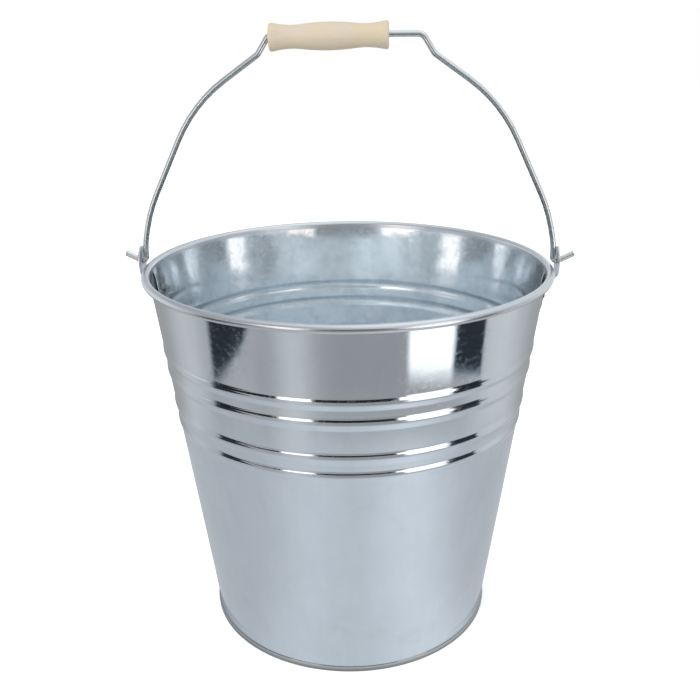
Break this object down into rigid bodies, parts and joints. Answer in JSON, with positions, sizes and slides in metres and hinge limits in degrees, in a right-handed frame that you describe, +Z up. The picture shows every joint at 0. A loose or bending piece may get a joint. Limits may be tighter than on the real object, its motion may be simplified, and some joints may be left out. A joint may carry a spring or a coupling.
{
  "type": "feed bucket",
  "caption": "Tapered galvanised feed bucket with rolled rim, swaged ribs, riveted ears, a swinging wire bail and a turned wooden grip.",
  "frame": {"origin": "centre of the foot ring, on the surface that the bucket stands on", "axes": "+Z up through the mouth, +X through the right ear along the bail's pivot axis, -Y towards the front"},
  "size_m": [0.3326, 0.3, 0.4479],
  "materials": {
    "galvanised_sheet": "bright zinc, satin to mirror",
    "galvanised_wire": "drawn wire, zinc plated",
    "galvanised_stamping": "dull zinc",
    "rivet_steel": "dull steel",
    "turned_wood": "bare turned beech"
  },
  "bodies": {
    "bucket": {"wall_front": "galvanised_sheet", "wall_rear": "galvanised_sheet", "bottom_pan": "galvanised_sheet", "rim_wire": "galvanised_wire", "ear_left": "galvanised_stamping", "ear_right": "galvanised_stamping", "rivet_left_front": "rivet_steel", "rivet_left_rear": "rivet_steel", "rivet_right_front": "rivet_steel", "rivet_right_rear": "rivet_steel"},
    "bail": {"bail_wire": "galvanised_wire"},
    "grip": {"wooden_grip": "turned_wood"}
  },
  "joints": [
    {"name": "bail_swing", "type": "hinge", "parent": "bucket", "child": "bail", "pos_m": [0, 0, 0.2815], "axis": [1, 0, 0], "range_deg": [-88.5, 88.5]},
    {"name": "grip_spin", "type": "hinge", "parent": "bail", "child": "grip", "pos_m": [-0.0115, 0, 0.4381], "axis": [0.9999, 0, 0.0122], "continuous": true}
  ]
}
